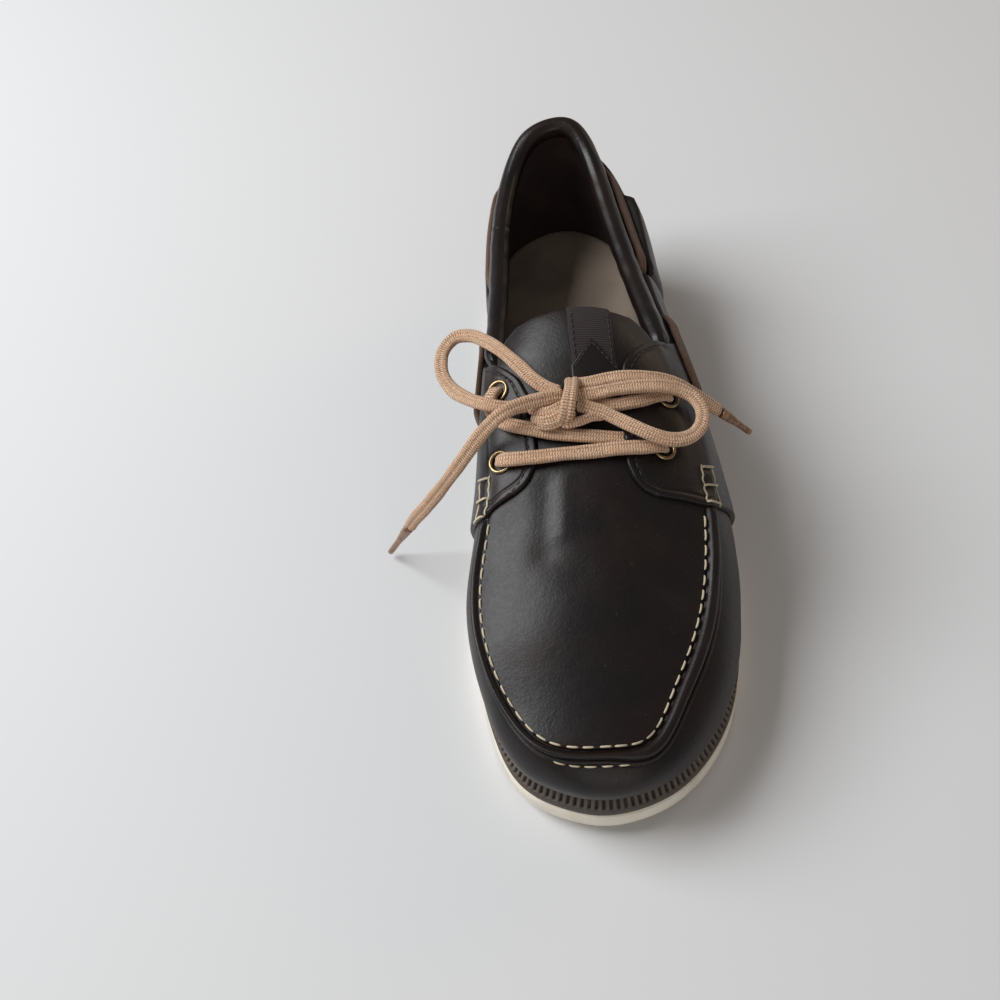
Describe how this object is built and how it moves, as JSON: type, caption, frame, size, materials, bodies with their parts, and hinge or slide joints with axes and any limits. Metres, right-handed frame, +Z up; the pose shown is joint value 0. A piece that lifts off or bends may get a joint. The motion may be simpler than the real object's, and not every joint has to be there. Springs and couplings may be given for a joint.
{
  "type": "boat shoe",
  "caption": "Low leather boat shoe for the left foot: moccasin toe, side lacing through eyelets, a tied bow, rolled collar and flat grooved rubber sole.",
  "frame": {"origin": "on the ground, under the middle of the shoe's length and width without the bow", "axes": "+Y from the toe to the heel, +X to the lateral side of this left shoe, +Z up"},
  "size_m": [0.1518, 0.3024, 0.0967],
  "materials": {
    "cream_rubber": "matte",
    "brown_rubber": "matte",
    "footbed": "matte",
    "leather": "satin",
    "brass": "satin",
    "lace": "matte",
    "lace_tip": "satin"
  },
  "bodies": {
    "root": {"outsole": "cream_rubber", "welt": "brown_rubber", "insole": "footbed", "upper": "leather", "tongue": "leather", "quarter_medial": "leather", "quarter_lateral": "leather", "heel_counter": "leather", "collar_roll": "leather", "eyelet_1": "brass", "eyelet_2": "brass", "eyelet_3": "brass", "eyelet_4": "brass", "lace_front_bar": "lace", "lace_cross_bar": "lace", "lace_rear_bar": "lace", "side_lace_medial_rear": "lace", "side_lace_lateral_rear": "lace", "side_lace_medial_front": "lace", "side_lace_lateral_front": "lace", "lace_loop_medial": "lace", "lace_loop_lateral": "lace", "lace_end_lateral": "lace", "lace_end_medial": "lace", "lace_tip_lateral": "lace_tip", "lace_tip_medial": "lace_tip", "lace_knot": "lace"}
  },
  "joints": []
}
